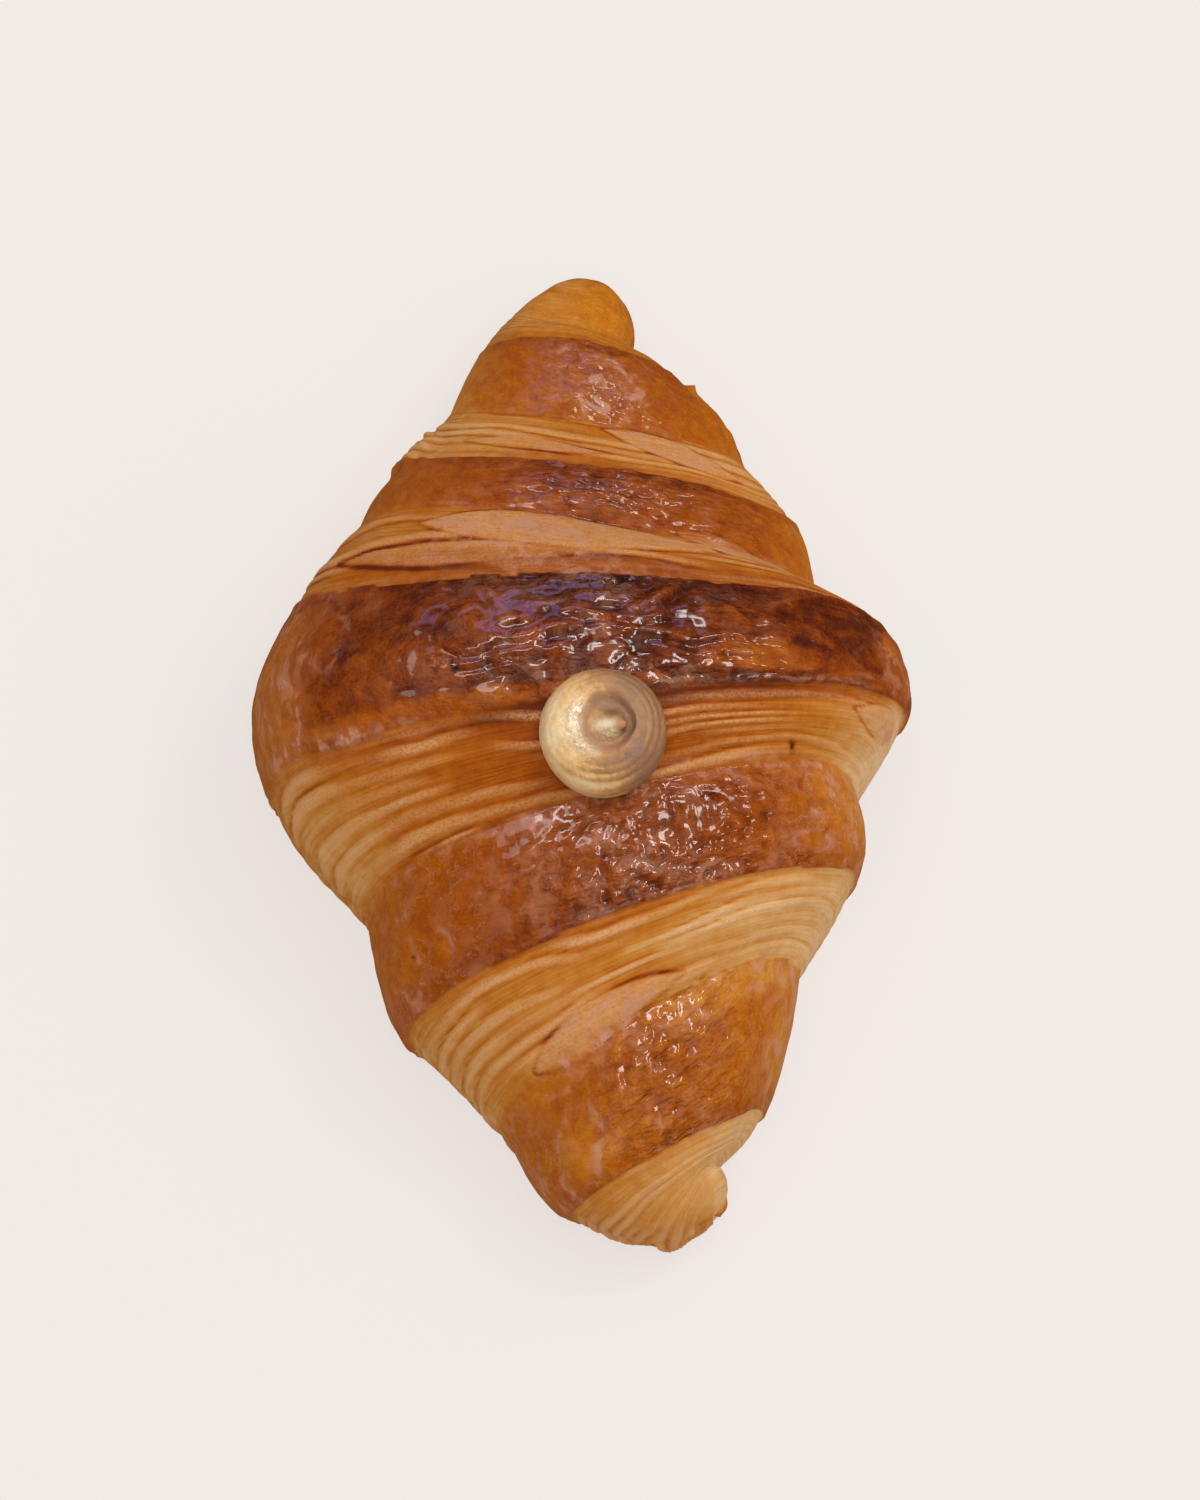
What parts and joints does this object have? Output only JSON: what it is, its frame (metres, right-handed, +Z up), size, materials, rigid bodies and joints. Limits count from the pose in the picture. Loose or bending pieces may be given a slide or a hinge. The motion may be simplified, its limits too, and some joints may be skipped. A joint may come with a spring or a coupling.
{
  "type": "croissant with cream swirl",
  "caption": "Straight rolled croissant with glazed brown turns, pale layered cut edges and a small piped nut cream swirl on its crown.",
  "frame": {"origin": "on the sole, under the croissant's crown, on the flat spot where it rests", "axes": "+Y along the roll to the far tip, +X to its right seen from above, +Z up through the crown"},
  "size_m": [0.0989, 0.1503, 0.0604],
  "materials": {
    "crust": "baked laminated dough: egg-washed brown skin, semi-gloss, with pale matt layered cut edges",
    "nut_cream": "smooth piped nut cream, soft satin with a few wet highlights"
  },
  "bodies": {
    "root": {"croissant": "crust", "cream_dollop": "nut_cream"}
  },
  "joints": []
}
